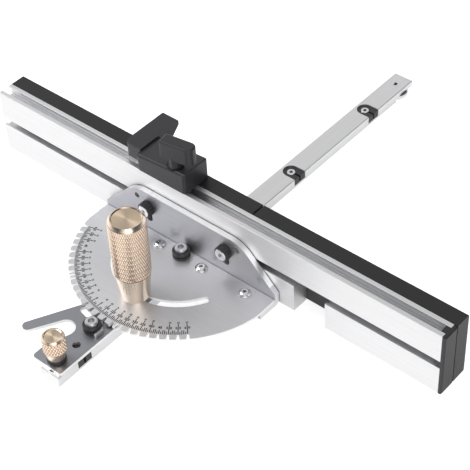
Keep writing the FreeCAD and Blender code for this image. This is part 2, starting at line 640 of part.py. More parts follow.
def make_dial():
    x, y = DIAL_SIDE_X, -math.sqrt(DIAL_RADIUS ** 2 - DIAL_SIDE_X ** 2)
    arc = Part.Arc(Vector(-x, y, 0), Vector(0, -DIAL_RADIUS, 0), Vector(x, y, 0)).toShape()
    right = Part.LineSegment(Vector(x, y, 0), Vector(DIAL_SIDE_X, DIAL_BACK_EDGE, 0)).toShape()
    back = Part.LineSegment(Vector(DIAL_SIDE_X, DIAL_BACK_EDGE, 0),
                            Vector(-DIAL_SIDE_X, DIAL_BACK_EDGE, 0)).toShape()
    left = Part.LineSegment(Vector(-DIAL_SIDE_X, DIAL_BACK_EDGE, 0), Vector(-x, y, 0)).toShape()
    face = Part.Face(Part.Wire([arc, right, back, left]))
    face.translate(Vector(0, 0, DIAL_BOTTOM))
    dial = face.extrude(Vector(0, 0, DIAL_THICKNESS))
    cutters = []
    for angle in stop_angles():
        cutter = notch_cutter()
        cutter.rotate(Vector(0, 0, 0), Vector(0, 0, 1), -(angle + DIAL_TURN))
        cutters.append(cutter)
    dial = round_crowns(dial.cut(Part.makeCompound(cutters)))
    dial = dial.cut(arc_slot(ARC_SLOT_RADIUS, ARC_SLOT_WIDTH, ARC_SLOT_END, DIAL_BOTTOM - 1,
                             DIAL_THICKNESS + 2))
    dial = dial.cut(cylinder(2 * SEAT_RADIUS, DIAL_THICKNESS + 2, 0, 0, DIAL_BOTTOM - 1))
    for px in plate_screw_places():
        dial = dial.cut(cylinder(PLATE_SCREW_SHANK, DIAL_THICKNESS + 2, px, PLATE_SCREW_Y, DIAL_BOTTOM - 1))
    return dial


def plate_screw_places():
    outer = DIAL_SIDE_X - PLATE_SCREW_INSET
    pitch = 2.0 * outer / (PLATE_SCREW_COUNT - 1)
    return [-outer + pitch * k for k in range(PLATE_SCREW_COUNT)]


def make_bracket():
    """Bent plate: a foot under the dial and an upright that backs the fence."""
    half = DIAL_SIDE_X
    profile = rounded_face([(BRACKET_FOOT_FRONT, BRACKET_BOTTOM, 0),
                            (BRACKET_BACK, BRACKET_BOTTOM, BRACKET_BEND_RADIUS),
                            (BRACKET_BACK, BRACKET_TOP, 0), (BRACKET_FRONT, BRACKET_TOP, 0),
                            (BRACKET_FRONT, DIAL_BOTTOM, 0), (BRACKET_FOOT_FRONT, DIAL_BOTTOM, 0)])
    profile.rotate(Vector(0, 0, 0), Vector(1, 1, 1), 120)
    profile.translate(Vector(-half, 0, 0))
    bent = profile.extrude(Vector(2 * half, 0, 0))
    outline = [(-half, BRACKET_BOTTOM, 0), (half, BRACKET_BOTTOM, 0),
               (half, BRACKET_SIDE_Z, BRACKET_SIDE_RADIUS),
               (BRACKET_SHOULDER_X, BRACKET_TOP, BRACKET_SHOULDER_RADIUS),
               (-BRACKET_SHOULDER_X, BRACKET_TOP, BRACKET_SHOULDER_RADIUS),
               (-half, BRACKET_SIDE_Z, BRACKET_SIDE_RADIUS)]
    depth = BRACKET_BACK - BRACKET_FOOT_FRONT
    bracket = bent.common(upright_plate(outline, BRACKET_BACK, depth))
    slot = M6_SHANK + 2 * BOLT_SLOT_GAP
    for side in (-1, 1):
        bracket = bracket.cut(upright_slot(slot, side * BOLT_X, BOLT_Z - BOLT_SLOT_DROP, BOLT_Z + FENCE_RISE,
                                           BRACKET_FRONT - 1, BRACKET_THICKNESS + 2))
        place = Vector(side * SMALL_HOLE_X, BRACKET_FRONT - 1, SMALL_HOLE_Z)
        bracket = bracket.cut(Part.makeCylinder(SMALL_HOLE_DIAMETER / 2.0, BRACKET_THICKNESS + 2, place,
                                                Vector(0, 1, 0)))
    bracket = bracket.cut(cylinder(2 * SEAT_RADIUS, BRACKET_THICKNESS + 2, 0, 0, BRACKET_BOTTOM - 1))
    for px in plate_screw_places():
        bracket = bracket.cut(cylinder(PLATE_SCREW_SHANK, BRACKET_THICKNESS + 2, px, PLATE_SCREW_Y,
                                       BRACKET_BOTTOM - 1))
    return bracket


def make_plate_screws():
    screws = []
    head = PLATE_SCREW_HEAD / 2.0
    shank = PLATE_SCREW_SHANK / 2.0
    rise = PLATE_SCREW_HEAD_HEIGHT
    rim = DIAL_TOP + PLATE_SCREW_RIM
    dome = [(head * math.cos(math.radians(a)), rim + (rise - PLATE_SCREW_RIM) * math.sin(math.radians(a)))
            for a in (20, 40, 58)]
    bottom = BRACKET_BOTTOM + RUNNING_GAP
    profile = [(0, bottom), (shank, bottom), (shank, DIAL_TOP), (head, DIAL_TOP),
               (head, rim)] + dome + [(0, dome[-1][1])]
    for px in plate_screw_places():
        socket = hex_socket(PLATE_SCREW_SOCKET, PLATE_SOCKET_DEPTH, px, PLATE_SCREW_Y, dome[-1][1])
        screws.append(turned(profile, px, PLATE_SCREW_Y).cut(socket))
    return Part.makeCompound(screws)


def along_y(profile, x, z):
    """Solid of revolution about a line along Y from (radius, y) points."""
    solid = turned([(r, -y) for r, y in profile], 0, 0)
    solid.rotate(Vector(0, 0, 0), Vector(1, 0, 0), 90)
    solid.translate(Vector(x, 0, z))
    return solid


def make_clamp_knob(side):
    """Fluted knob with a sunk seat for its screw."""
    r = CLAMP_KNOB_DIAMETER / 2.0
    back = BRACKET_FRONT
    front = back - CLAMP_KNOB_HEIGHT
    profile = [(0, back), (r - 0.6, back), (r, back - 0.6), (r, front + 1.0), (r - 1.0, front), (0, front)]
    knob = along_y(profile, side * BOLT_X, BOLT_Z)
    ring = []
    for k in range(2 * CLAMP_KNOB_FLUTES):
        a = math.pi * k / CLAMP_KNOB_FLUTES
        reach = r + CLAMP_RIB_POINT if k % 2 == 0 else r - CLAMP_KNOB_FLUTE_DEPTH
        ring.append(Vector(side * BOLT_X + reach * math.cos(a), front, BOLT_Z + reach * math.sin(a)))
    ribs = Part.Face(Part.makePolygon(ring + [ring[0]])).extrude(Vector(0, CLAMP_KNOB_HEIGHT, 0))
    knob = knob.common(ribs)
    seat = Vector(side * BOLT_X, front - 1, BOLT_Z)
    sunk = CLAMP_SCREW_HEAD_HEIGHT - CLAMP_SCREW_PROUD
    knob = knob.cut(Part.makeCylinder(CLAMP_SCREW_HEAD / 2.0 + 0.1, sunk + 1, seat, Vector(0, 1, 0)))
    return knob.cut(Part.makeCylinder(M6_SHANK / 2.0, CLAMP_KNOB_HEIGHT + 2, seat, Vector(0, 1, 0)))


def make_clamp_screw(side):
    """Socket screw that passes through the knob and the bracket into the nut in the fence."""
    r = CLAMP_SCREW_HEAD / 2.0
    front = BRACKET_FRONT - CLAMP_KNOB_HEIGHT
    seat = front - CLAMP_SCREW_PROUD + CLAMP_SCREW_HEAD_HEIGHT
    tip = FENCE_FRONT + SIDE_SLOT_LIP + CLAMP_SCREW_BITE
    shank = M6_SHANK / 2.0
    profile = [(0, tip), (shank, tip), (shank, seat), (r, seat), (r, seat - CLAMP_SCREW_HEAD_HEIGHT + 0.4),
               (r - 0.4, seat - CLAMP_SCREW_HEAD_HEIGHT), (0, seat - CLAMP_SCREW_HEAD_HEIGHT)]
    screw = along_y(profile, side * BOLT_X, BOLT_Z)
    socket = hex_socket(CLAMP_SCREW_SOCKET, CLAMP_SOCKET_DEPTH, 0, 0, 0)
    socket.rotate(Vector(0, 0, 0), Vector(1, 0, 0), 90)
    socket.translate(Vector(side * BOLT_X, seat - CLAMP_SCREW_HEAD_HEIGHT, BOLT_Z))
    return screw.cut(socket)


def make_t_nuts():
    nuts = []
    front = FENCE_FRONT + SIDE_SLOT_LIP + 0.1
    half = SIDE_SLOT_INSIDE / 2.0 - T_SLOT_GAP
    for side in (-1, 1):
        x = side * BOLT_X
        nut = box(x - T_NUT_LENGTH / 2.0, x + T_NUT_LENGTH / 2.0, front, front + T_NUT_THICKNESS,
                  BOLT_Z - half, BOLT_Z + half)
        hole = Part.makeCylinder(SEAT_RADIUS, 8, Vector(x, front - 1, BOLT_Z), Vector(0, 1, 0))
        nuts.append(nut.cut(hole))
    return Part.makeCompound(nuts)


def make_handle():
    """Turned brass handle: parallel knurled barrel, waisted foot, shallow dish in the top face."""
    bottom = DIAL_TOP
    top = bottom + HANDLE_HEIGHT
    r = HANDLE_DIAMETER / 2.0
    foot = HANDLE_FOOT_DIAMETER / 2.0
    neck = bottom + HANDLE_TAPER_HEIGHT
    face = r - HANDLE_CHAMFER
    profile = [(0, bottom), (foot - 0.6, bottom), (foot, bottom + 0.6),
               (foot + 0.3 * (r - foot), bottom + 0.34 * HANDLE_TAPER_HEIGHT),
               (foot + 0.72 * (r - foot), bottom + 0.68 * HANDLE_TAPER_HEIGHT), (r, neck),
               (r, top - HANDLE_CHAMFER), (face, top), (face - 1.0, top), (face - 2.2, top - HANDLE_DISH),
               (0, top - HANDLE_DISH)]
    handle = turned(profile, 0, -ARC_SLOT_RADIUS)
    return handle.cut(cylinder(M6_SHANK, HANDLE_STUD_REACH, 0, -ARC_SLOT_RADIUS, bottom))


def make_handle_stud():
    bottom = BAR_TOP - STUD_DEPTH + STUD_FLOOR_GAP
    return cylinder(M6_SHANK, DIAL_TOP + HANDLE_STUD_REACH - bottom, 0, -ARC_SLOT_RADIUS, bottom)


def fence_profile():
    """Section of the extrusion in Y and Z: top slot, side slot and a hollow chamber."""
    mid, top, z = FENCE_MIDDLE, FENCE_TOP, BOLT_Z
    m, i = TOP_SLOT_MOUTH / 2.0, TOP_SLOT_INSIDE / 2.0
    lip, deep = top - TOP_SLOT_LIP, top - TOP_SLOT_LIP - TOP_SLOT_DEPTH
    sm, si = SIDE_SLOT_MOUTH / 2.0, SIDE_SLOT_INSIDE / 2.0
    near, far = FENCE_FRONT + SIDE_SLOT_LIP, FENCE_FRONT + SIDE_SLOT_DEPTH
    f, b, low, e = FENCE_FRONT, FENCE_BACK, FENCE_BOTTOM, FENCE_EDGE_BREAK
    section = rounded_face([
        (f, low, e), (b, low, e), (b, top, e), (mid + m, top, 0.3), (mid + m, lip, 0),
        (mid + i, lip, 0.3), (mid + i, deep, 0.6), (mid - i, deep, 0.6), (mid - i, lip, 0.3),
        (mid - m, lip, 0), (mid - m, top, 0.3), (f, top, e), (f, z + sm, 0.3), (near, z + sm, 0),
        (near, z + si, 0.3), (far, z + si, 0.6), (far, z - si, 0.6), (near, z - si, 0.3),
        (near, z - sm, 0), (f, z - sm, 0.3)])
    wall = CHAMBER_WALL
    chamber = rounded_face([(f + wall, z + si + wall, 1.0), (b - wall, z + si + wall, 1.0),
                            (b - wall, deep - wall, 1.0), (f + wall, deep - wall, 1.0)])
    return section.cut(chamber)


def make_fence():
    section = fence_profile()
    section.rotate(Vector(0, 0, 0), Vector(1, 1, 1), 120)
    section.translate(Vector(FENCE_LEFT, 0, 0))
    fence = section.extrude(Vector(FENCE_LENGTH, 0, 0))
    return fence.cut(box(BLADE_GAP_LEFT, BLADE_GAP_RIGHT, FENCE_FRONT - 1, FENCE_BACK + 1, FENCE_BOTTOM - 1,
                         BOLT_Z + SIDE_SLOT_MOUTH / 2.0))


def make_board(left, right, seam_x):
    """Facing board behind the extrusion, its far upright corner rounded at the seam."""
    back = FENCE_BACK + BOARD_THICKNESS
    board = box(left, right, FENCE_BACK, back, FENCE_BOTTOM + BOARD_LIFT, FENCE_TOP)
    at_seam = upright_edges(board, lambda x, y: abs(x - seam_x) < 1e-6 and abs(y - back) < 1e-6)
    board = board.makeFillet(BOARD_SEAM_RADIUS, at_seam)
    long_edges = [e for e in board.Edges if e.Length > 100 and abs(e.CenterOfMass.y - back) < 1e-3]
    return board.makeChamfer(BOARD_EDGE_BREAK, long_edges)


def make_end_cap():
    """Moulded cap with a bevelled rim and two plugs that reach into the slots."""
    cap = box(FENCE_RIGHT, FENCE_RIGHT + CAP_THICKNESS, FENCE_FRONT, FENCE_BACK,
              FENCE_BOTTOM, FENCE_TOP - CAP_DROP)
    outer = [e for e in cap.Edges if abs(e.CenterOfMass.x - FENCE_RIGHT - CAP_THICKNESS) < 1e-6]
    cap = cap.makeChamfer(CAP_BEVEL, outer)
    x0 = FENCE_RIGHT - CAP_PLUG_LENGTH
    g = CAP_PLUG_GAP
    m, i = TOP_SLOT_MOUTH / 2.0 - g, TOP_SLOT_INSIDE / 2.0 - g
    lip = FENCE_TOP - TOP_SLOT_LIP - g
    deep = FENCE_TOP - TOP_SLOT_LIP - TOP_SLOT_DEPTH + g
    top_plug = box(x0, FENCE_RIGHT, FENCE_MIDDLE - i, FENCE_MIDDLE + i, deep, lip).fuse(
        box(x0, FENCE_RIGHT, FENCE_MIDDLE - m, FENCE_MIDDLE + m, deep, FENCE_TOP - CAP_DROP))
    sm, si = SIDE_SLOT_MOUTH / 2.0 - g, SIDE_SLOT_INSIDE / 2.0 - g
    near = FENCE_FRONT + SIDE_SLOT_LIP + g
    far = FENCE_FRONT + SIDE_SLOT_DEPTH - g
    side_plug = box(x0, FENCE_RIGHT, near, far, BOLT_Z - si, BOLT_Z + si).fuse(
        box(x0, FENCE_RIGHT, FENCE_FRONT + 0.3, far, BOLT_Z - sm, BOLT_Z + sm))
    return cap.fuse([top_plug, side_plug]).removeSplitter()


def make_stop_body():
    """Moulded stop: a block that sits on the fence and an arm that reaches over the boards."""
    base = FENCE_TOP
    front = FENCE_FRONT
    back = front + STOP_BLOCK_DEPTH
    side = rounded_face([(STOP_BLOCK_LEFT, base, 0), (STOP_BLOCK_RIGHT, base, 0),
                         (STOP_BLOCK_RIGHT, base + STOP_BLOCK_RIGHT_HEIGHT, 1.0),
                         (STOP_BLOCK_LEFT, base + STOP_BLOCK_LEFT_HEIGHT, 0)])
    side.rotate(Vector(0, 0, 0), Vector(1, 0, 0), 90)
    side.translate(Vector(0, back, 0))
    block = side.extrude(Vector(0, -STOP_BLOCK_DEPTH, 0))
    corners = upright_edges(block, lambda x, y: abs(x - STOP_BLOCK_RIGHT) < 1e-6 or abs(y - front) < 1e-6)
    block = block.makeFillet(STOP_BLOCK_CORNER, corners)
    low = base + STOP_ARM_LIFT
    high = base + STOP_ARM_HEIGHT
    arm = rounded_face([(STOP_ARM_FRONT, low, STOP_ARM_CHIN), (STOP_ARM_REACH - STOP_ARM_SLOPE, low, 4.0),
                        (STOP_ARM_REACH, high - STOP_ARM_TIP, 0.8), (STOP_ARM_REACH, high, 0.8),
                        (STOP_ARM_FRONT, high, 1.0)])
    arm.rotate(Vector(0, 0, 0), Vector(1, 1, 1), 120)
    arm.translate(Vector(STOP_ARM_LEFT, 0, 0))
    arm = arm.extrude(Vector(STOP_ARM_RIGHT - STOP_ARM_LEFT, 0, 0))
    plan = [(STOP_ARM_LEFT, STOP_ARM_FRONT, STOP_ARM_CORNER), (STOP_ARM_RIGHT, STOP_ARM_FRONT, 0),
            (STOP_ARM_RIGHT, STOP_ARM_REACH, 0.8), (STOP_ARM_LEFT, STOP_ARM_REACH, 0.8)]
    arm = arm.common(rounded_plate(plan, base, STOP_ARM_HEIGHT + 1))
    body = block.fuse(arm).removeSplitter()
    deep = STOP_BLOCK_RIGHT_HEIGHT
    body = body.cut(cylinder(2 * SEAT_RADIUS, deep + 2, STOP_AXIS_X, FENCE_MIDDLE, base - 1))
    return body.cut(cylinder(STOP_SEAT_DIAMETER, deep, STOP_AXIS_X, FENCE_MIDDLE, base + STOP_SEAT_HEIGHT))


def make_stop_bolt():
    """T bolt whose square head hangs in the top slot."""
    half = TOP_SLOT_INSIDE / 2.0 - T_SLOT_GAP
    head_top = FENCE_TOP - TOP_SLOT_LIP - 0.1
    head = box(STOP_AXIS_X - half, STOP_AXIS_X + half, FENCE_MIDDLE - half, FENCE_MIDDLE + half,
               head_top - T_BOLT_HEAD_HEIGHT, head_top)
    shank_top = FENCE_TOP + PADDLE_TOP - PADDLE_BORE_ROOF - 0.5
    return head.fuse(cylinder(M6_SHANK, shank_top - head_top + 1, STOP_AXIS_X, FENCE_MIDDLE, head_top - 1))


def make_stop_knob():
    """Paddle shaped knob: a round hub under a blade that reaches further to the right."""
    base = FENCE_TOP
    half = PADDLE_WIDTH / 2.0
    plan = [(-PADDLE_SHORT_REACH, -half, PADDLE_END_RADIUS), (PADDLE_LONG_REACH, -half, PADDLE_NOSE_RADIUS),
            (PADDLE_LONG_REACH, half, PADDLE_NOSE_RADIUS), (-PADDLE_SHORT_REACH, half, PADDLE_END_RADIUS)]
    blade = rounded_plate(plan, base + PADDLE_UNDERSIDE, PADDLE_TOP - PADDLE_UNDERSIDE)
    rim = [e for e in blade.Edges if abs(e.CenterOfMass.z - base - PADDLE_TOP) < 1e-6]
    blade = blade.makeFillet(PADDLE_EDGE_ROUNDING, rim)
    hub_low = base + STOP_SEAT_HEIGHT + RUNNING_GAP
    knob = blade.fuse(cylinder(PADDLE_HUB_DIAMETER, PADDLE_UNDERSIDE + base - hub_low + 2.0, 0, 0, hub_low))
    bore_top = base + PADDLE_TOP - PADDLE_BORE_ROOF
    knob = knob.cut(cylinder(2 * SEAT_RADIUS, bore_top - hub_low + 1, 0, 0, hub_low - 1))
    knob.rotate(Vector(0, 0, 0), Vector(0, 0, 1), PADDLE_TURN)
    knob.translate(Vector(STOP_AXIS_X, FENCE_MIDDLE, 0))
    return knob


os.makedirs("parts", exist_ok=True)

pivot_collar, pivot_seat = collar(0, 0, DIAL_TOP)
index_collar, index_seat = collar(INDEX_AXIS_X, INDEX_SCREW_Y, INDEX_TOP)
screw_bottom = BAR_TOP - STUD_DEPTH + STUD_FLOOR_GAP

pieces = {
    "miter_bar": make_bar(),
    "bar_expanders": make_expanders(),
    "expander_screws": make_expander_screws(),
    "tip_screw": make_tip_screw(),
    "tip_washer": make_tip_washer(),
    "pivot_screw": cap_screw(0, 0, pivot_seat, screw_bottom),
    "pivot_collar": pivot_collar,
    "index_screw": cap_screw(INDEX_AXIS_X, INDEX_SCREW_Y, index_seat, screw_bottom),
    "index_collar": index_collar,
    "index_plate": make_index_plate(),
    "index_knob": make_index_knob(),
    "index_knob_stud": make_index_stud(),
    "index_washer": make_index_washer(),
    "dial_plate": make_dial(),
    "fence_bracket": make_bracket(),
    "plate_screws": make_plate_screws(),
    "clamp_knob_left": make_clamp_knob(-1),
    "clamp_knob_right": make_clamp_knob(1),
    "clamp_screw_left": make_clamp_screw(-1),
    "clamp_screw_right": make_clamp_screw(1),
    "clamp_nuts": make_t_nuts(),
    "handle": make_handle(),
    "handle_stud": make_handle_stud(),
    "fence_extrusion": make_fence(),
    "face_board_left": make_board(FENCE_LEFT, BOARD_SEAM, BOARD_SEAM),
    "face_board_right": make_board(BOARD_SEAM + BOARD_SEAM_GAP, FENCE_RIGHT + CAP_THICKNESS,
                                   BOARD_SEAM + BOARD_SEAM_GAP),
    "fence_end_cap": make_end_cap(),
    "stop_body": make_stop_body(),
    "stop_bolt": make_stop_bolt(),
    "stop_knob": make_stop_knob(),
}

for name, shape in pieces.items():
    shape.exportStep(os.path.join("parts", name + ".step"))
    state = "valid" if shape.isValid() else "not valid"
    print(name, len(shape.Solids), "solids", round(shape.Volume, 1), "mm3", state)
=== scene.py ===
"""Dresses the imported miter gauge: camera, floor, soft light, and a finish for every piece."""

import math

import bpy
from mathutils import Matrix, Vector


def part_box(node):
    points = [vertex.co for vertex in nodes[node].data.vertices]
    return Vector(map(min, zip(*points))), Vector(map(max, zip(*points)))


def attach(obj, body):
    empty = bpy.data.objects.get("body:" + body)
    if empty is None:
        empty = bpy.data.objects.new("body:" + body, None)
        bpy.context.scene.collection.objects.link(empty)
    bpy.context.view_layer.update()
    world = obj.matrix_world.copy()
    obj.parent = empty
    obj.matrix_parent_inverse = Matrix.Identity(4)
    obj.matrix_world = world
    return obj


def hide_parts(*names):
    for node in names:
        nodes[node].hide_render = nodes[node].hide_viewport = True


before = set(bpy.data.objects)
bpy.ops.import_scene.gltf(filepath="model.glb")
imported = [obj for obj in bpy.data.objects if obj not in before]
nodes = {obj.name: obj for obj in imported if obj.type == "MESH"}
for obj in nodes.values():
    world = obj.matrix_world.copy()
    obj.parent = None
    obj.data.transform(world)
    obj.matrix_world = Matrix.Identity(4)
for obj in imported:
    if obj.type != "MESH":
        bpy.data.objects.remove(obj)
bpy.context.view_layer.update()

# ---------------------------------------------------------------------------
# Camera. It stands at the near right end, as the photograph was taken: far
# back with a long lens, so the fence and the bar stay almost parallel.
# ---------------------------------------------------------------------------
camera_data = bpy.data.cameras.new("camera")
camera_data.lens = 110.025
camera_data.sensor_width = 36
camera_data.shift_x = 0.00242
camera_data.shift_y = -0.00464
camera_data.clip_end = 20
camera = bpy.data.objects.new("camera", camera_data)
camera.location = (0.58259, -0.57001, 0.81221)
camera.rotation_euler = [math.radians(turn) for turn in (46.38839, 2.41209, 40.34801)]
bpy.context.scene.collection.objects.link(camera)
bpy.context.scene.camera = camera
bpy.context.scene.view_settings.view_transform = "Standard"


# ---------------------------------------------------------------------------
# Studio. A seamless white paper floor in a white room that is a little darker
# overhead and at its two ends, which is what the metals show. One wide soft
# lamp stands high on the left and a weaker one on the right.
# ---------------------------------------------------------------------------
def linear(colour):
    """An sRGB colour such as B4B5B8 as the linear RGBA that a shader wants."""
    channels = [int(colour[i : i + 2], 16) / 255 for i in (0, 2, 4)]
    curve = [c / 12.92 if c <= 0.04045 else ((c + 0.055) / 1.055) ** 2.4 for c in channels]
    return (*curve, 1.0)


def add(tree, kind, inputs={}, **settings):
    """Adds a node; an input is given a value or, to be linked, another node's socket."""
    made = tree.nodes.new(kind)
    for name, value in settings.items():
        setattr(made, name, value)
    for name, value in inputs.items():
        if isinstance(value, bpy.types.NodeSocket):
            tree.links.new(value, made.inputs[name])
        else:
            made.inputs[name].default_value = value
    return made


def finish(name, colour, metallic, roughness):
    """A new material with its shader's plain values set; returns it, its tree and its shader."""
    made = bpy.data.materials.new(name)
    made.use_nodes = True
    shader = made.node_tree.nodes["Principled BSDF"]
    shader.inputs["Base Color"].default_value = linear(colour)
    shader.inputs["Metallic"].default_value = metallic
    shader.inputs["Roughness"].default_value = roughness
    return made, made.node_tree, shader


PAPER_HALF_WIDTH = 6.0
PAPER_DROP = 0.0002
bpy.ops.object.select_all(action="DESELECT")
bpy.ops.mesh.primitive_plane_add(size=2 * PAPER_HALF_WIDTH, location=(0, 0, -PAPER_DROP))
floor = bpy.context.object
floor.name = "paper_floor"

# The paper is lifted to white for the eye and for reflections, and still takes the soft shadow.
LIFT_FOR_EYE = 0.66
LIFT_IN_METAL = 0.3
white_paper, tree, shader = finish("seamless_white_paper", "F4F4F4", 0, 0.9)
shader.inputs["Emission Color"].default_value = linear("FFFFFF")
seen = add(tree, "ShaderNodeLightPath")
eye = add(tree, "ShaderNodeMath", {0: seen.outputs["Is Camera Ray"], 1: LIFT_FOR_EYE}, operation="MULTIPLY")
lift = add(tree, "ShaderNodeMath", {0: seen.outputs["Is Glossy Ray"], 1: LIFT_IN_METAL, 2: eye.outputs[0]},
           operation="MULTIPLY_ADD")
tree.links.new(lift.outputs[0], shader.inputs["Emission Strength"])
floor.data.materials.append(white_paper)

# Heights and lengthways shares below are of a direction of length 1. The dark ends are seen in
# reflections only; they begin a little above the floor, so upright pieces still mirror white.
ROOM_LIGHT = 0.54
CEILING_SHADE = 0.6
CEILING_STARTS, CEILING_FULL = 0.3, 0.66
END_SHADE = "3C444E"
ROOM_LENGTHWAYS = (0.762, 0.647, 0.0)
ENDS_START, ENDS_FULL = 0.25, 0.55
ENDS_FOOT, ENDS_TOP = 0.12, 0.3
world = bpy.data.worlds.new("white_room")
bpy.context.scene.world = world
world.use_nodes = True
tree = world.node_tree
backdrop = tree.nodes["Background"]
towards = add(tree, "ShaderNodeTexCoord").outputs["Generated"]
upward = add(tree, "ShaderNodeSeparateXYZ", {0: towards})
ceiling = add(tree, "ShaderNodeMapRange", {"Value": upward.outputs["Z"], "From Min": CEILING_STARTS,
                                           "From Max": CEILING_FULL, "To Min": 1.0,
                                           "To Max": CEILING_SHADE})
sideways = add(tree, "ShaderNodeVectorMath", {0: towards, 1: ROOM_LENGTHWAYS}, operation="DOT_PRODUCT")
sideways = add(tree, "ShaderNodeMath", {0: sideways.outputs["Value"]}, operation="ABSOLUTE")
ends = add(tree, "ShaderNodeMapRange", {"Value": sideways.outputs[0], "From Min": ENDS_START,
                                        "From Max": ENDS_FULL})
high = add(tree, "ShaderNodeMapRange", {"Value": upward.outputs["Z"], "From Min": ENDS_FOOT,
                                        "From Max": ENDS_TOP})
flags = add(tree, "ShaderNodeMath", {0: ends.outputs[0], 1: high.outputs[0]}, operation="MULTIPLY")
seen = add(tree, "ShaderNodeLightPath")
mirrored = add(tree, "ShaderNodeMath", {0: seen.outputs["Is Glossy Ray"],
                                        1: seen.outputs["Is Transmission Ray"]}, operation="ADD")
flags = add(tree, "ShaderNodeMath", {0: flags.outputs[0], 1: mirrored.outputs[0]}, operation="MULTIPLY")
walls = add(tree, "ShaderNodeMix", {0: flags.outputs[0], 6: linear("FFFFFF"), 7: linear(END_SHADE)},
            data_type="RGBA")
tree.links.new(walls.outputs[2], backdrop.inputs["Color"])
level = add(tree, "ShaderNodeMapRange", {"Value": mirrored.outputs[0], "To Min": ROOM_LIGHT,
                                         "To Max": ceiling.outputs[0]})
level = add(tree, "ShaderNodeMath", {0: level.outputs[0], 1: seen.outputs["Is Camera Ray"]},
            operation="MAXIMUM")
tree.links.new(level.outputs[0], backdrop.inputs["Strength"])


LAMP_AIM = (0, 0.05, 0.03)


def softbox(name, place, size, watts):
    """A square area lamp that looks at the middle of the object."""
    lamp = bpy.data.lights.new(name, "AREA")
    lamp.size = size
    lamp.energy = watts
    stand = bpy.data.objects.new(name, lamp)
    stand.location = place
    reach = stand.location.copy()
    reach.negate()
    reach.x += LAMP_AIM[0]
    reach.y += LAMP_AIM[1]
    reach.z += LAMP_AIM[2]
    stand.rotation_euler = reach.to_track_quat("-Z", "Y").to_euler()
    bpy.context.scene.collection.objects.link(stand)


softbox("key_softbox", (-1.1, -0.5, 1.5), 1.2, 14)
softbox("fill_softbox", (1.2, -0.9, 0.9), 0.9, 5)


# ---------------------------------------------------------------------------
# Miter bar. A drawn aluminium bar with a clear satin anodised skin, cut to
# length and bored across, which runs in the table's slot. It shows fine
# lines along its length.
# ---------------------------------------------------------------------------
def dress(name, material):
    """Gives every slot of a CAD node one material."""
    for place in nodes[name].material_slots:
        place.material = material


def anodised(name, light, roughness, line_sizes, relief, depth):
    """Aluminium with a clear satin anodised skin over its drawing lines, whose sizes are in metres;
    returns the material, its tree, its shader and its colour."""
    made, tree, shader = finish(name, light, 1, roughness)
    place = add(tree, "ShaderNodeTexCoord").outputs["Object"]
    mapped = add(tree, "ShaderNodeMapping", {"Vector": place, "Scale": [1 / size for size in line_sizes]})
    lines = add(tree, "ShaderNodeTexNoise", {"Vector": mapped.outputs[0], "Scale": 1.0, "Detail": 4,
                                             "Roughness": 0.6})
    tone = add(tree, "ShaderNodeMix", {0: lines.outputs["Fac"], 6: linear("E6E6E8"), 7: linear(light)},
               data_type="RGBA")
    tree.links.new(tone.outputs[2], shader.inputs["Base Color"])
    bump = add(tree, "ShaderNodeBump", {"Height": lines.outputs["Fac"], "Strength": relief,
                                        "Distance": depth})
    tree.links.new(bump.outputs[0], shader.inputs["Normal"])
    return made, tree, shader, tone.outputs[2]


# Drawing lines are finer than this on the real bar; they are drawn 0.9 mm apart so that they show.
BAR_LINES = (0.0009, 0.060, 0.0009)
dress("miter_bar", anodised("satin_anodised_drawn_aluminium", "FAFAFA", 0.36, BAR_LINES, 0.25, 0.00008)[0])


# ---------------------------------------------------------------------------
# Expanders. Black nylon discs let into the side of the bar, each spread by
# its own small bright socket screw until the bar runs in its slot without
# play.
# ---------------------------------------------------------------------------
def uneven_gloss(tree, shader, grain_size, detail, smooth, rough):
    """Lets the roughness wander between two values over grains of a size in metres; returns the grain."""
    place = add(tree, "ShaderNodeTexCoord").outputs["Object"]
    grain = add(tree, "ShaderNodeTexNoise", {"Vector": place, "Scale": 1 / grain_size, "Detail": detail})
    gloss = add(tree, "ShaderNodeMapRange", {"Value": grain.outputs["Fac"], "To Min": smooth, "To Max": rough})
    tree.links.new(gloss.outputs[0], shader.inputs["Roughness"])
    return grain.outputs["Fac"]


def shade_hollows(tree, shader, reach, closed, open_at, dark, light):
    """Paints shade into a piece's colour: light in the open, dark where it is hollow within a reach
    in metres; closed and open_at are the shares of open sky at which it is all dark and all light."""
    hollow = add(tree, "ShaderNodeAmbientOcclusion", {"Distance": reach}, samples=8)
    depth = add(tree, "ShaderNodeMapRange", {"Value": hollow.outputs["AO"], "From Min": closed,
                                             "From Max": open_at})
    tone = add(tree, "ShaderNodeMix", {0: depth.outputs[0], 6: dark, 7: light}, data_type="RGBA")
    tree.links.new(tone.outputs[2], shader.inputs["Base Color"])


def moulded(name, colour, roughness, grit):
    """Moulded black plastic with a fine mould texture; grit is the size of its grain in metres."""
    made, tree, shader = finish(name, colour, 0, roughness)
    grain = uneven_gloss(tree, shader, grit, 3, roughness - 0.1, roughness + 0.1)
    bump = add(tree, "ShaderNodeBump", {"Height": grain, "Strength": 0.4, "Distance": 0.00004})
    tree.links.new(bump.outputs[0], shader.inputs["Normal"])
    return made


# Nylon 6 as moulded: a soft sheen on near black.
black_nylon = moulded("moulded_black_nylon", "343436", 0.42, 0.0008)
dress("bar_expanders", black_nylon)

# Bright zinc plating on steel: it sparkles on domes and has painted shade down in a socket.
SOCKET_SHADE = 0.002
PLATING_CLOUDS = 0.0011
bright_zinc, tree, shader = finish("bright_zinc_plated_steel", "E4E4E7", 1, 0.2)
uneven_gloss(tree, shader, PLATING_CLOUDS, 2, 0.12, 0.3)
shade_hollows(tree, shader, SOCKET_SHADE, 0.3, 0.7, linear("2C2C30"), linear("F2F2F4"))
dress("expander_screws", bright_zinc)

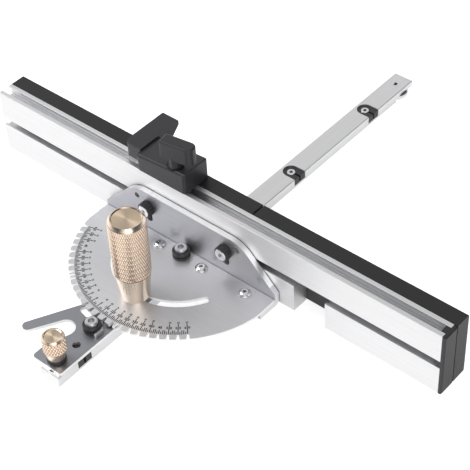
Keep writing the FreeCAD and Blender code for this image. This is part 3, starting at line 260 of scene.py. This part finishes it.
# ---------------------------------------------------------------------------
# Tip. A countersunk screw holds a round washer under the bar's far end, which
# keeps the bar down in a T shaped slot. Both are bright zinc plated steel.
# ---------------------------------------------------------------------------
for name in ("tip_screw", "tip_washer"):
    dress(name, bright_zinc)

# ---------------------------------------------------------------------------
# Pivot. A shouldered steel screw with a satin turned head holds the head down
# on the bar, in a black nylon collar that takes up the play.
# ---------------------------------------------------------------------------
# Turned steel left bare: an even satin grey, with painted shade down in its socket.
TURNING_MARKS = 0.0007
satin_steel, tree, shader = finish("satin_turned_steel", "DCDCDF", 1, 0.42)
uneven_gloss(tree, shader, TURNING_MARKS, 3, 0.32, 0.48)
shade_hollows(tree, shader, SOCKET_SHADE, 0.15, 0.45, linear("343436"), linear("DCDCDF"))
dress("pivot_screw", satin_steel)
dress("pivot_collar", black_nylon)


# ---------------------------------------------------------------------------
# Index plate. Laser cut steel with a hooked finger and a window, bead blasted
# to an even grey; its bare cut edges take a near-white painted highlight. It slides on the bar
# under its shoulder screw and collar until its tooth drops into a notch.
# ---------------------------------------------------------------------------
def cut_sheet(name, dark, light, edge, grain, roughness, fold=1.0):
    """Sheet metal, grained on its faces; its cut edges are bare and take a painted highlight. Faces that look
    up count as sheet below the height of the fold, and with a fold so do the faces that look along y."""
    made, tree, shader = finish(name, light, 1, roughness)
    place = add(tree, "ShaderNodeTexCoord")
    mapped = add(tree, "ShaderNodeMapping", {"Vector": place.outputs["Object"],
                                             "Scale": [1 / size for size in grain]})
    lines = add(tree, "ShaderNodeTexNoise", {"Vector": mapped.outputs[0], "Scale": 1.0, "Detail": 4,
                                             "Roughness": 0.6})
    tone = add(tree, "ShaderNodeMix", {0: lines.outputs["Fac"], 6: linear(dark), 7: linear(light)},
               data_type="RGBA")
    spot = add(tree, "ShaderNodeSeparateXYZ", {0: place.outputs["Object"]})
    below = add(tree, "ShaderNodeMath", {0: spot.outputs["Z"], 1: fold}, operation="LESS_THAN")
    facing = add(tree, "ShaderNodeSeparateXYZ", {0: place.outputs["Normal"]})
    flat = add(tree, "ShaderNodeMath", {0: facing.outputs["Z"]}, operation="ABSOLUTE")
    flat = add(tree, "ShaderNodeMath", {0: flat.outputs[0], 1: below.outputs[0]}, operation="MULTIPLY")
    if fold < 1.0:
        upright = add(tree, "ShaderNodeMath", {0: facing.outputs["Y"]}, operation="ABSOLUTE")
        flat = add(tree, "ShaderNodeMath", {0: flat.outputs[0], 1: upright.outputs[0]}, operation="MAXIMUM")
    # The cut edges, every face that is not sheet, take the edge colour as a painted highlight.
    face = add(tree, "ShaderNodeMapRange", {"Value": flat.outputs[0], "From Min": 0.3, "From Max": 0.7})
    both = add(tree, "ShaderNodeMix", {0: face.outputs[0], 6: linear(edge), 7: tone.outputs[2]},
               data_type="RGBA")
    tree.links.new(both.outputs[2], shader.inputs["Base Color"])
    bump = add(tree, "ShaderNodeBump", {"Height": lines.outputs["Fac"], "Strength": 0.3,
                                        "Distance": 0.00006})
    tree.links.new(bump.outputs[0], shader.inputs["Normal"])
    return made


BLASTED_GRAIN = (0.0009, 0.0009, 0.0009)
dress("index_plate", cut_sheet("bead_blasted_steel_index", "98999F", "ACADB2", "F8F8F8", BLASTED_GRAIN,
                               0.42))
dress("index_screw", satin_steel)
dress("index_collar", black_nylon)
dress("index_washer", black_nylon)


# ---------------------------------------------------------------------------
# Index knob. Turned from champagne coloured brass, knurled round its side and
# faced on top. It screws down on a steel stud and locks the index plate.
# ---------------------------------------------------------------------------
def choose(piece, parts, test):
    """Leaves the piece in edit mode with only those vertices, edges or polygons selected that pass."""
    bpy.ops.object.mode_set(mode="EDIT")
    bpy.ops.mesh.select_mode(type={"vertices": "VERT", "edges": "EDGE", "polygons": "FACE"}[parts])
    bpy.ops.mesh.select_all(action="DESELECT")
    bpy.ops.object.mode_set(mode="OBJECT")
    for part in getattr(piece.data, parts):
        part.select = test(part)
    bpy.ops.object.mode_set(mode="EDIT")


def turned(name, foot_centre, sides, rings):
    """A closed turned piece, drawn up from its foot ring by ring; rings are (height, radius)."""
    bpy.ops.object.select_all(action="DESELECT")
    height, radius = rings[0]
    x, y, z = foot_centre
    bpy.ops.mesh.primitive_circle_add(vertices=sides, radius=radius, fill_type="NGON",
                                      location=(x, y, z + height))
    piece = bpy.context.object
    piece.name = name
    bpy.ops.object.transform_apply(location=True, rotation=True, scale=True)
    bpy.ops.object.mode_set(mode="EDIT")
    bpy.ops.mesh.select_all(action="SELECT")
    for next_height, next_radius in rings[1:]:
        bpy.ops.mesh.extrude_region_move(TRANSFORM_OT_translate={"value": (0, 0, next_height - height)})
        ratio = next_radius / radius
        bpy.ops.transform.resize(value=(ratio, ratio, 1), center_override=(x, y, z))
        height, radius = next_height, next_radius
    bpy.ops.mesh.select_all(action="SELECT")
    bpy.ops.mesh.normals_make_consistent(inside=False)
    bpy.ops.object.mode_set(mode="OBJECT")
    return piece


SMOOTH_BELOW = math.radians(18)
HAIR = 0.00001


def knurl(piece, axis, low, high, peak):
    """Presses a diamond knurl into a turned band between two heights: the band's squares are
    halved both ways, joined again across their old edges and raised to a point each."""
    def in_band(face):
        return low < face.center.z < high and abs(face.normal.z) < 0.7

    def old_edge(edge):
        ends = [piece.data.vertices[i].co for i in edge.vertices]
        turns = [math.atan2(end.y - axis[1], end.x - axis[0]) for end in ends]
        level = abs(ends[0].z - ends[1].z) < HAIR
        upright = abs(math.remainder(turns[0] - turns[1], 2 * math.pi)) < 1e-3
        inside = low + HAIR < (ends[0].z + ends[1].z) / 2 < high - HAIR
        return inside and (level or upright)

    choose(piece, "polygons", in_band)
    bpy.ops.mesh.poke(offset=0)
    choose(piece, "edges", old_edge)
    bpy.ops.mesh.dissolve_edges(use_verts=False, use_face_split=False)
    choose(piece, "polygons", in_band)
    bpy.ops.mesh.poke(offset=peak)
    bpy.ops.object.mode_set(mode="OBJECT")
    bpy.ops.object.shade_smooth_by_angle(angle=SMOOTH_BELOW)


def ring_rows(start, end, rows):
    """Evenly spaced rings between two (height, radius) rings, the last one included."""
    return [(start[0] + (end[0] - start[0]) * i / rows, start[1] + (end[1] - start[1]) * i / rows)
            for i in range(1, rows + 1)]


# Champagne brass, lacquered: pale and warm, with painted shade down in the knurl's valleys.
# The turning rings of its faced top are finer on the real piece; they are drawn 0.9 mm apart.
KNURL_PEAK = 0.00042
RING_PITCH = 0.0009


def turned_brass(name, axis, root):
    """Lacquered champagne brass round an upright axis, with painted shade in the knurl's valleys; root is the
    radius of those valleys.
    """
    made, tree, shader = finish(name, "FDEBD8", 1, 0.24)
    place = add(tree, "ShaderNodeTexCoord").outputs["Object"]
    centred = add(tree, "ShaderNodeVectorMath", {0: place, 1: (axis[0], axis[1], 0.0)},
                  operation="SUBTRACT")
    level = add(tree, "ShaderNodeVectorMath", {0: centred.outputs[0], 1: (1.0, 1.0, 0.0)},
                operation="MULTIPLY")
    radius = add(tree, "ShaderNodeVectorMath", {0: level.outputs[0]}, operation="LENGTH")
    # Painted shade: the colour darkens towards the knurl's valleys.
    valley = add(tree, "ShaderNodeMapRange", {"Value": radius.outputs["Value"],
                                              "From Min": root - KNURL_PEAK * 0.1,
                                              "From Max": root + KNURL_PEAK * 0.4})
    plain = add(tree, "ShaderNodeMath", {0: radius.outputs["Value"], 1: root - KNURL_PEAK * 0.3},
                operation="LESS_THAN")
    out_of_valley_shade = add(tree, "ShaderNodeMath", {0: valley.outputs[0], 1: plain.outputs[0]}, operation="MAXIMUM")
    tone = add(tree, "ShaderNodeMix", {0: out_of_valley_shade.outputs[0], 6: linear("B48C6C"), 7: linear("FDEBD8")},
               data_type="RGBA")
    tree.links.new(tone.outputs[2], shader.inputs["Base Color"])
    return made


def turned_face(name, axis):
    """The faced top of a turned brass piece, whose fine rings stretch the light across it."""
    made, tree, shader = finish(name, "E2CDB4", 1, 0.3)
    shader.inputs["Anisotropic"].default_value = 0.9
    around = add(tree, "ShaderNodeTangent", direction_type="RADIAL", axis="Z")
    tree.links.new(around.outputs[0], shader.inputs["Tangent"])
    place = add(tree, "ShaderNodeTexCoord").outputs["Object"]
    centred = add(tree, "ShaderNodeMapping", {"Vector": place, "Location": (-axis[0], -axis[1], 0.0)})
    rings = add(tree, "ShaderNodeTexWave", {"Vector": centred.outputs[0], "Scale": 1 / (20 * RING_PITCH),
                                            "Distortion": 0.0}, wave_type="RINGS", rings_direction="Z")
    bump = add(tree, "ShaderNodeBump", {"Height": rings.outputs["Fac"], "Strength": 0.15,
                                        "Distance": 0.00005})
    tree.links.new(bump.outputs[0], shader.inputs["Normal"])
    return made


def coat(piece, side, top, height):
    """Gives a turned piece its side finish and, above a height, its faced top."""
    piece.data.materials.append(side)
    piece.data.materials.append(top)
    choose(piece, "polygons", lambda face: face.center.z > height and face.normal.z > 0.9)
    piece.active_material_index = 1
    bpy.ops.object.material_slot_assign()
    bpy.ops.object.mode_set(mode="OBJECT")


low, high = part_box("index_knob")
KNOB_AXIS = ((low.x + high.x) / 2, (low.y + high.y) / 2, low.z)
KNOB_HEIGHT = high.z - low.z
KNOB_RADIUS = (high.x - low.x) / 2
KNOB_FOOT_RADIUS = 0.0070
KNOB_TAPER_TOP = KNOB_HEIGHT - 0.014
KNOB_CHAMFER = 0.0015
KNOB_DISH = 0.0005
KNOB_SIDES, KNOB_ROWS = 24, 3
taper_end = (KNOB_TAPER_TOP, KNOB_RADIUS - KNURL_PEAK)
knurl_end = (KNOB_HEIGHT - KNOB_CHAMFER, KNOB_RADIUS - KNURL_PEAK)
knob = turned("knurled_index_knob", KNOB_AXIS, KNOB_SIDES,
              [(0.0, KNOB_FOOT_RADIUS), taper_end, *ring_rows(taper_end, knurl_end, KNOB_ROWS),
               (KNOB_HEIGHT, KNOB_RADIUS - KNOB_CHAMFER), (KNOB_HEIGHT, KNOB_RADIUS - KNOB_CHAMFER * 1.4),
               (KNOB_HEIGHT - KNOB_DISH, KNOB_RADIUS - KNOB_CHAMFER * 2)])
knurl(knob, KNOB_AXIS, low.z + taper_end[0], low.z + knurl_end[0], KNURL_PEAK)
coat(knob, turned_brass("knurled_brass_index_knob", KNOB_AXIS, KNOB_RADIUS - KNURL_PEAK),
     turned_face("faced_brass_index_knob", KNOB_AXIS), high.z - 0.001)
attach(knob, "index_lock")
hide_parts("index_knob")
dress("index_knob_stud", bright_zinc)

# ---------------------------------------------------------------------------
# Dial plate. Laser cut steel sheet, brushed from side to side, with a notch
# for every stop round its rim and a curved slot for the handle's stud.
# ---------------------------------------------------------------------------
SIDEWAYS_BRUSHING = (0.030, 0.0007, 0.0007)
# Its cut edges take a near-white painted highlight.
dress("dial_plate", cut_sheet("brushed_sheet_steel_dial", "DEDEE2", "F0F0F2", "FDFDFD", SIDEWAYS_BRUSHING,
                              0.5))

# ---------------------------------------------------------------------------
# Scale. Printed in dark grey on the dial: a line for every degree and, every
# five degrees, a longer line that parts the two digits of its number, with
# the complementary angle in small digits at its inner end.
# ---------------------------------------------------------------------------
DIAL_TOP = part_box("dial_plate")[1].z
DIAL_TURN = math.radians(15)
LAST_NUMBER = 60
MARK_THICKNESS = 0.00006
MARK_LINE_WIDTH = 0.0007
SCALE_OUTER = 0.0849
DIGIT_SHARE = 0.73


def line(turn, inner):
    """A line of the scale, drawn in from the scale's outer edge."""
    bpy.ops.object.select_all(action="DESELECT")
    bpy.ops.mesh.primitive_plane_add(size=1)
    mark = bpy.context.object
    middle = (inner + SCALE_OUTER) / 2
    mark.scale = (MARK_LINE_WIDTH, SCALE_OUTER - inner, 1)
    mark.rotation_euler.z = turn
    mark.location = (middle * math.sin(turn), -middle * math.cos(turn), DIAL_TOP - MARK_THICKNESS / 3)
    bpy.ops.object.transform_apply(location=True, rotation=True, scale=True)
    bpy.ops.object.mode_set(mode="EDIT")
    bpy.ops.mesh.extrude_region_move(TRANSFORM_OT_translate={"value": (0, 0, MARK_THICKNESS)})
    bpy.ops.mesh.select_all(action="SELECT")
    bpy.ops.mesh.normals_make_consistent(inside=False)
    bpy.ops.object.mode_set(mode="OBJECT")
    return mark


def number(digits, turn, radius, tall, weight, shift=0.0):
    """Digits on the dial, read from the near side and centred on a radius."""
    bpy.ops.object.select_all(action="DESELECT")
    bpy.ops.object.text_add()
    mark = bpy.context.object
    mark.data.body = digits
    mark.data.align_x = "CENTER"
    mark.data.size = tall / DIGIT_SHARE
    mark.data.offset = weight
    mark.data.extrude = MARK_THICKNESS / 2
    mark.data.resolution_u = 2
    bpy.ops.object.convert(target="MESH")
    foot = radius + tall / 2
    mark.rotation_euler.z = turn
    mark.location = (foot * math.sin(turn) + shift * math.cos(turn),
                     -foot * math.cos(turn) + shift * math.sin(turn), DIAL_TOP + MARK_THICKNESS / 6)
    bpy.ops.object.transform_apply(location=True, rotation=True, scale=True)
    bpy.ops.object.mode_set(mode="EDIT")
    bpy.ops.mesh.select_all(action="SELECT")
    bpy.ops.mesh.remove_doubles(threshold=0.000001)
    bpy.ops.mesh.normals_make_consistent(inside=False)
    bpy.ops.object.mode_set(mode="OBJECT")
    return mark


def join(name, marks):
    """Joins marks into one piece of that name."""
    bpy.ops.object.select_all(action="DESELECT")
    for mark in marks:
        mark.select_set(True)
    bpy.context.view_layer.objects.active = marks[0]
    bpy.ops.object.join()
    marks[0].name = name
    return marks[0]


# One group of four degree lines is drawn and then repeated round the dial; its middle two are longer.
SHORT_END, MIDDLE_END = 0.0825, 0.081
first = math.radians(-LAST_NUMBER) - DIAL_TURN
degree_lines = join("dial_degree_lines",
                    [line(first + math.radians(step), inner)
                     for step, inner in ((1, SHORT_END), (2, MIDDLE_END), (3, MIDDLE_END), (4, SHORT_END))])
bpy.ops.object.empty_add()
five_degrees = bpy.context.object
five_degrees.rotation_euler.z = math.radians(5)
repeat = degree_lines.modifiers.new("round_the_dial", "ARRAY")
repeat.count = 2 * LAST_NUMBER // 5
repeat.use_relative_offset = False
repeat.use_object_offset = True
repeat.offset_object = five_degrees
bpy.context.view_layer.objects.active = degree_lines
bpy.context.view_layer.update()
bpy.ops.object.modifier_apply(modifier=repeat.name)
bpy.data.objects.remove(five_degrees)

OUTER_NUMBERS = 0.0782
OUTER_DIGITS = 0.0023
OUTER_WEIGHT = 0.00013
HALF_GAP = 0.00142
INNER_NUMBERS = 0.0729
INNER_DIGITS = 0.0015
INNER_WEIGHT = 0.00008
ZERO_END, FIVE_END, LONG_END = 0.0795, 0.0797, 0.0742
ZERO_NUMBER = 0.0780
marks = [line(-DIAL_TURN, ZERO_END), number("0", -DIAL_TURN, ZERO_NUMBER, OUTER_DIGITS, OUTER_WEIGHT)]
for side in (-1, 1):
    for value in range(5, LAST_NUMBER + 5, 5):
        turn = side * math.radians(value) - DIAL_TURN
        if value == 45:
            marks.append(line(turn, MIDDLE_END))
            marks.append(number("45", turn, OUTER_NUMBERS, OUTER_DIGITS, OUTER_WEIGHT))
            continue
        if value == 5:
            marks.append(line(turn, FIVE_END))
            marks.append(number("5", turn, OUTER_NUMBERS, OUTER_DIGITS, OUTER_WEIGHT))
        else:
            marks.append(line(turn, LONG_END))
            for digit, shift in zip(str(value), (-HALF_GAP, HALF_GAP)):
                marks.append(number(digit, turn, OUTER_NUMBERS, OUTER_DIGITS, OUTER_WEIGHT, shift))
        marks.append(number(str(90 - value), turn, INNER_NUMBERS, INNER_DIGITS, INNER_WEIGHT))
scale_numbers = join("dial_scale_numbers", marks)

# Screen printing ink: matt dark grey, a little uneven where it thins at the edges.
INK_SPECKS = 0.0004
scale_ink, tree, shader = finish("screen_printed_dark_ink", "1A1A1C", 0, 0.6)
place = add(tree, "ShaderNodeTexCoord").outputs["Object"]
specks = add(tree, "ShaderNodeTexNoise", {"Vector": place, "Scale": 1 / INK_SPECKS, "Detail": 2})
tone = add(tree, "ShaderNodeMix", {0: specks.outputs["Fac"], 6: linear("121214"), 7: linear("28282B")},
           data_type="RGBA")
tree.links.new(tone.outputs[2], shader.inputs["Base Color"])
for piece in (degree_lines, scale_numbers):
    piece.data.materials.clear()
    piece.data.materials.append(scale_ink)
    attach(piece, "head")

# ---------------------------------------------------------------------------
# Fence bracket. Thicker steel sheet, cut with its bolt slots and bent up
# square behind the dial, brushed as the dial is. Four button head screws
# hold the dial plate down on its foot.
# ---------------------------------------------------------------------------
BRACKET_FOLD = 0.0265
# Its cut edges take a near-white painted highlight.
dress("fence_bracket", cut_sheet("brushed_sheet_steel_bracket", "BCBCC1", "CECED2", "F2F2F3",
                                 SIDEWAYS_BRUSHING, 0.42, BRACKET_FOLD))
dress("plate_screws", bright_zinc)

# ---------------------------------------------------------------------------
# Main handle. Turned from champagne coloured brass, knurled above its plain
# tapered foot and dished on top. It screws down on a stud through the dial's
# curved slot, so that turning it locks the head.
# ---------------------------------------------------------------------------
low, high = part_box("handle")
HANDLE_AXIS = ((low.x + high.x) / 2, (low.y + high.y) / 2, low.z)
HANDLE_HEIGHT = high.z - low.z
HANDLE_RADIUS = (high.x - low.x) / 2
FOOT_RADIUS = 0.0112
TAPER_TOP = 0.0265
TOP_CHAMFER = 0.0025
DISH = 0.0008
HANDLE_SIDES, HANDLE_ROWS = 52, 11
taper_end = (TAPER_TOP, HANDLE_RADIUS - KNURL_PEAK)
knurl_end = (HANDLE_HEIGHT - TOP_CHAMFER, HANDLE_RADIUS - KNURL_PEAK)
handle = turned("knurled_handle", HANDLE_AXIS, HANDLE_SIDES,
                [(0.0, FOOT_RADIUS), taper_end, *ring_rows(taper_end, knurl_end, HANDLE_ROWS),
                 (HANDLE_HEIGHT, HANDLE_RADIUS - TOP_CHAMFER),
                 (HANDLE_HEIGHT, HANDLE_RADIUS - TOP_CHAMFER * 1.25),
                 (HANDLE_HEIGHT - DISH, HANDLE_RADIUS - TOP_CHAMFER * 1.25 - DISH)])
knurl(handle, HANDLE_AXIS, low.z + taper_end[0], low.z + knurl_end[0], KNURL_PEAK)
coat(handle, turned_brass("knurled_brass_handle", HANDLE_AXIS, HANDLE_RADIUS - KNURL_PEAK),
     turned_face("faced_brass_handle", HANDLE_AXIS), high.z - 0.002)
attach(handle, "main_handle")
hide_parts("handle")
dress("handle_stud", bright_zinc)

# ---------------------------------------------------------------------------
# Fence clamps. Two fluted black nylon knobs, each on a bright socket screw
# that goes through the bracket's bolt slot into a T nut in the fence.
# ---------------------------------------------------------------------------
for name in ("clamp_knob_left", "clamp_knob_right"):
    dress(name, black_nylon)
for name in ("clamp_screw_left", "clamp_screw_right", "clamp_nuts"):
    dress(name, bright_zinc)

# ---------------------------------------------------------------------------
# Fence. An aluminium extrusion with a T slot in its top and its near side,
# with a clear satin anodised skin; it is drawn lengthways and so shows long
# faint lines.
# ---------------------------------------------------------------------------
FENCE_LINES = (0.090, 0.0009, 0.0009)
SLOT_SHADE = 0.008
anodised_fence, tree, shader, skin = anodised("satin_anodised_extruded_aluminium", "F8F8F8", 0.42, FENCE_LINES,
                                              0.15, 0.00005)
# Painted shade: the tone darkens to BCBCC0 down in the T slots and other hollows.
shade_hollows(tree, shader, SLOT_SHADE, 0.3, 0.85, linear("BCBCC0"), skin)
dress("fence_extrusion", anodised_fence)

# ---------------------------------------------------------------------------
# Facing boards. Two boards behind the extrusion with a gap for the blade,
# pressed fibre board with a black lacquer that has a soft sheen.
# ---------------------------------------------------------------------------
# Black lacquer over board fibres: a deep black with a faintly uneven sheen.
black_lacquer = moulded("black_lacquered_board", "1C1C1E", 0.45, 0.0012)
for name in ("face_board_left", "face_board_right"):
    dress(name, black_lacquer)

# ---------------------------------------------------------------------------
# End cap. Moulded black plastic, pressed with a plug into the end of the
# extrusion; its mould left an even fine grain.
# ---------------------------------------------------------------------------
# Soft moulded plastic: a grey sheen on black where the light grazes it.
dress("fence_end_cap", moulded("moulded_black_end_cap", "2A2A2D", 0.45, 0.0009))

# ---------------------------------------------------------------------------
# Side stop. A moulded nylon block that sits on the fence, with an arm that
# reaches over the boards. A bright T bolt in the top slot holds it, and the
# paddle knob on the bolt locks it.
# ---------------------------------------------------------------------------
# Glass filled nylon as moulded: a dull black with a faint grain.
stop_plastic = moulded("moulded_black_stop", "2E2E31", 0.4, 0.0009)
for name in ("stop_body", "stop_knob"):
    dress(name, stop_plastic)
dress("stop_bolt", bright_zinc)
